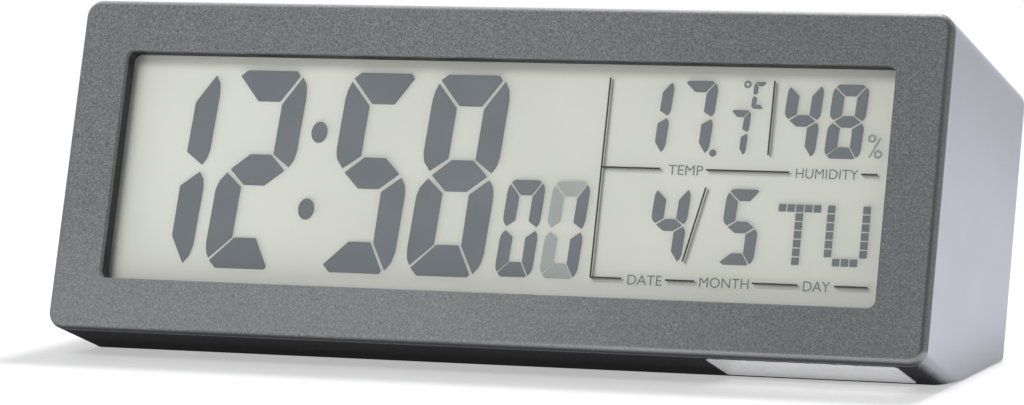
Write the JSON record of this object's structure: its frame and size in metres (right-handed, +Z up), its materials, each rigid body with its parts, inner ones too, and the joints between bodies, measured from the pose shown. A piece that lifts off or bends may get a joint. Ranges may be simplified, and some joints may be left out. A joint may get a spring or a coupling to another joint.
{
  "type": "thermometer hygrometer clock",
  "caption": "Table clock with thermometer and hygrometer: a leaning rectangular case with a wide liquid crystal display, rear keys and a battery bay.",
  "frame": {"origin": "on the table, under the middle of the object's bounding box", "axes": "+X across the clock, to the right when the display is read; +Y from the display towards the back; +Z up"},
  "size_m": [0.18, 0.0776, 0.0703],
  "materials": {
    "black_plastic": "fine matt",
    "buzzer_brass": "brass disc",
    "cable_grey": "grey insulation",
    "cell_jacket": "printed sleeve without words",
    "chip_resin": "black resin",
    "circuit_board": "green solder mask",
    "clear_window": "clear polished sheet",
    "contact_metal": "nickel plated",
    "dark_segments": "slate grey strokes",
    "display_glass": "clear glass with a polarising film",
    "faint_segments": "faint grey strokes",
    "foam": "foam",
    "foot_rubber": "matt rubber",
    "frame_paint": "fine metallic grey paint on plastic",
    "housing_paint": "smooth pale grey painted plastic, black underneath",
    "key_plastic": "dark grey fine texture",
    "label_foil": "brushed silver foil, blank",
    "lead_black": "black insulation",
    "lead_red": "red insulation",
    "plug_plastic": "off white nylon",
    "reflector_film": "pale grey green reflector",
    "screw_steel": "zinc plated",
    "sensor_white": "white moulding",
    "small_parts": "ceramic chips",
    "strip_rubber": "striped silicone",
    "switch_plastic": "black moulding"
  },
  "bodies": {
    "case": {"front_frame": "frame_paint", "rear_housing": "housing_paint", "display_surround": "black_plastic", "display_window": "clear_window", "display_front_glass": "display_glass", "display_segments": "dark_segments", "display_faint_segments": "faint_segments", "display_rear_glass": "display_glass", "display_reflector": "reflector_film", "display_contact_strips": "strip_rubber", "display_pad": "foam", "main_board": "circuit_board", "board_screws": "screw_steel", "clock_chip": "chip_resin", "timing_crystal": "contact_metal", "board_small_parts": "small_parts", "board_plugs": "plug_plastic", "key_ribbon": "cable_grey", "sensor_ribbon": "cable_grey", "snooze_switches": "switch_plastic", "case_screws": "screw_steel", "key_switches": "switch_plastic", "key_board": "circuit_board", "key_board_screws": "screw_steel", "alarm_switch_body": "switch_plastic", "upper_cell": "cell_jacket", "lower_cell": "cell_jacket", "positive_contact": "contact_metal", "negative_contact": "contact_metal", "bridge_contact": "contact_metal", "positive_lead": "lead_red", "negative_lead": "lead_black", "sensor_board": "circuit_board", "sensor_screws": "screw_steel", "humidity_sensor": "sensor_white", "temperature_sensor": "chip_resin", "alarm_buzzer": "buzzer_brass", "base_feet": "foot_rubber", "rating_label": "label_foil"},
    "snooze_bar": {"snooze_bar": "key_plastic"},
    "mode_key": {"mode_key": "key_plastic"},
    "set_key": {"set_key": "key_plastic"},
    "down_key": {"down_key": "key_plastic"},
    "up_key": {"up_key": "key_plastic"},
    "alarm_slider": {"alarm_switch_slider": "key_plastic"},
    "battery_door": {"battery_door": "housing_paint"}
  },
  "joints": [
    {"name": "snooze_press", "type": "slide", "parent": "case", "child": "snooze_bar", "axis": [0, -0.309, -0.9511], "range_m": [0, 0.0008], "stiffness_N_per_m": 900, "springref_m": -0.0006},
    {"name": "mode_press", "type": "slide", "parent": "case", "child": "mode_key", "axis": [0, -0.9511, 0.309], "range_m": [0, 0.0008], "stiffness_N_per_m": 700, "springref_m": -0.0006},
    {"name": "set_press", "type": "slide", "parent": "case", "child": "set_key", "axis": [0, -0.9511, 0.309], "range_m": [0, 0.0008], "stiffness_N_per_m": 700, "springref_m": -0.0006},
    {"name": "down_press", "type": "slide", "parent": "case", "child": "down_key", "axis": [0, -0.9511, 0.309], "range_m": [0, 0.0008], "stiffness_N_per_m": 700, "springref_m": -0.0006},
    {"name": "up_press", "type": "slide", "parent": "case", "child": "up_key", "axis": [0, -0.9511, 0.309], "range_m": [0, 0.0008], "stiffness_N_per_m": 700, "springref_m": -0.0006},
    {"name": "alarm_slide", "type": "slide", "parent": "case", "child": "alarm_slider", "axis": [1, 0, 0], "range_m": [0, 0.003]},
    {"name": "door_hinge", "type": "hinge", "parent": "case", "child": "battery_door", "pos_m": [0, 0.02475, 0.01098], "axis": [-1, 0, 0], "range_deg": [0, 75]}
  ]
}
